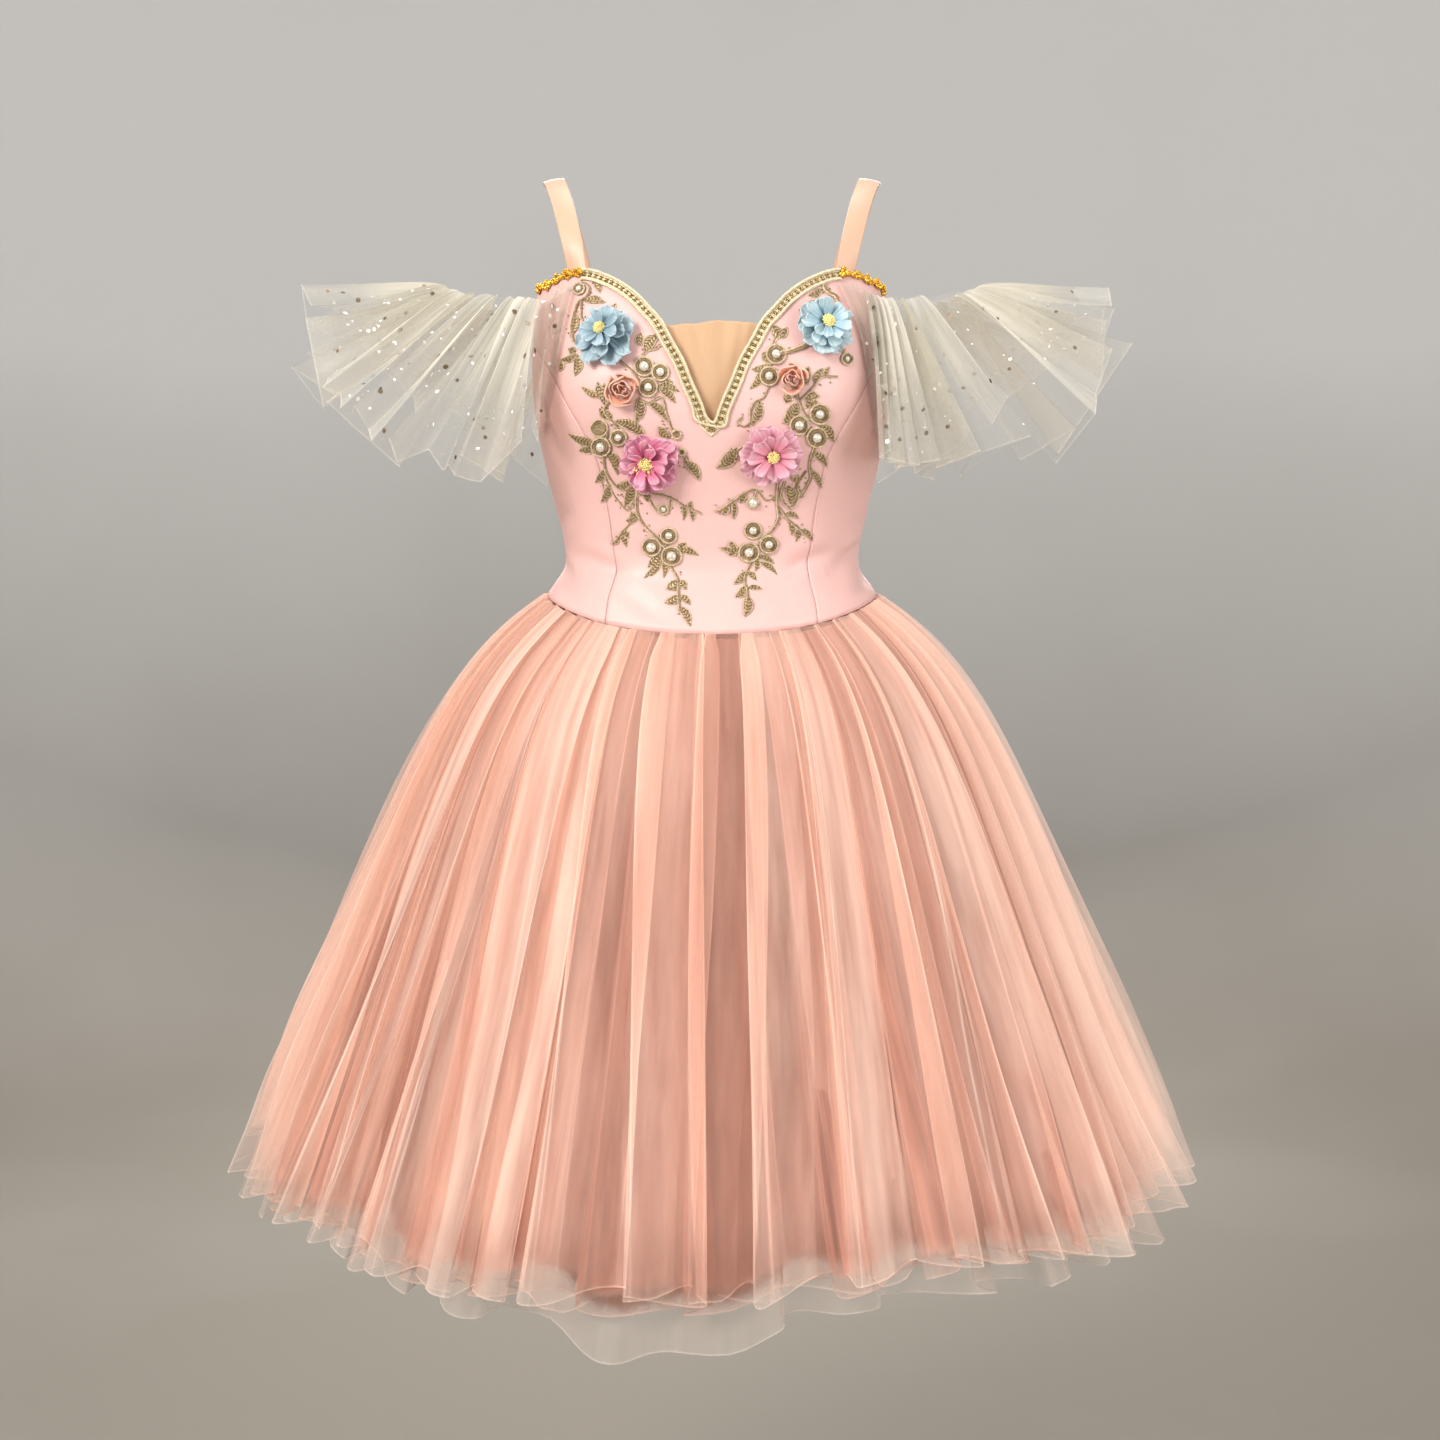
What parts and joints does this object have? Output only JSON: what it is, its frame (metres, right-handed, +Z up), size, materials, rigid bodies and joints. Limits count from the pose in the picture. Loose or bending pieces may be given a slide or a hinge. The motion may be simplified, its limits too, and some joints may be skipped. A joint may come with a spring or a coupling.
{
  "type": "romantic ballet tutu dress",
  "caption": "Worn-form romantic ballet tutu: hollow satin bodice with straps, off-shoulder net frill sleeves, corded applique and fabric flowers over a gathered knee-length net skirt.",
  "frame": {"origin": "midway between the two straps, where they cross the wearer's shoulders", "axes": "+Z up, +X towards the wearer's left, -Y towards the front"},
  "size_m": [0.7709, 0.68, 0.8274],
  "materials": {
    "satin": "duchess satin, soft sheen",
    "nude_net": "fine stretch net, matte",
    "strap_ribbon": "satin ribbon",
    "gold_braid": "corded braid set with stones",
    "gold_beads": "metallised beads",
    "ivory_net": "sheer glitter tulle",
    "peach_net": "sheer soft tulle",
    "gold_thread": "antique metallic cord",
    "blue_petals": "shaped fabric petals",
    "coral_petals": "rolled chiffon",
    "pink_petals": "shaped fabric petals"
  },
  "bodies": {
    "root": {"applique_left": "gold_thread", "applique_right": "gold_thread", "back_placket": "satin", "bead_trim_left": "gold_beads", "bead_trim_right": "gold_beads", "bodice_back_left": "satin", "bodice_back_right": "satin", "bodice_back_side_left": "satin", "bodice_back_side_right": "satin", "bodice_front_centre": "satin", "bodice_front_side_left": "satin", "bodice_front_side_right": "satin", "flower_blue_left": "blue_petals", "flower_blue_right": "blue_petals", "flower_coral_left": "coral_petals", "flower_coral_right": "coral_petals", "flower_pink_left": "pink_petals", "flower_pink_right": "pink_petals", "neck_braid": "gold_braid", "neck_insert": "nude_net", "skirt_middle": "peach_net", "skirt_over": "peach_net", "skirt_under": "peach_net", "sleeve_left_over": "ivory_net", "sleeve_left_under": "ivory_net", "sleeve_right_over": "ivory_net", "sleeve_right_under": "ivory_net", "strap_left": "strap_ribbon", "strap_right": "strap_ribbon"}
  },
  "joints": []
}
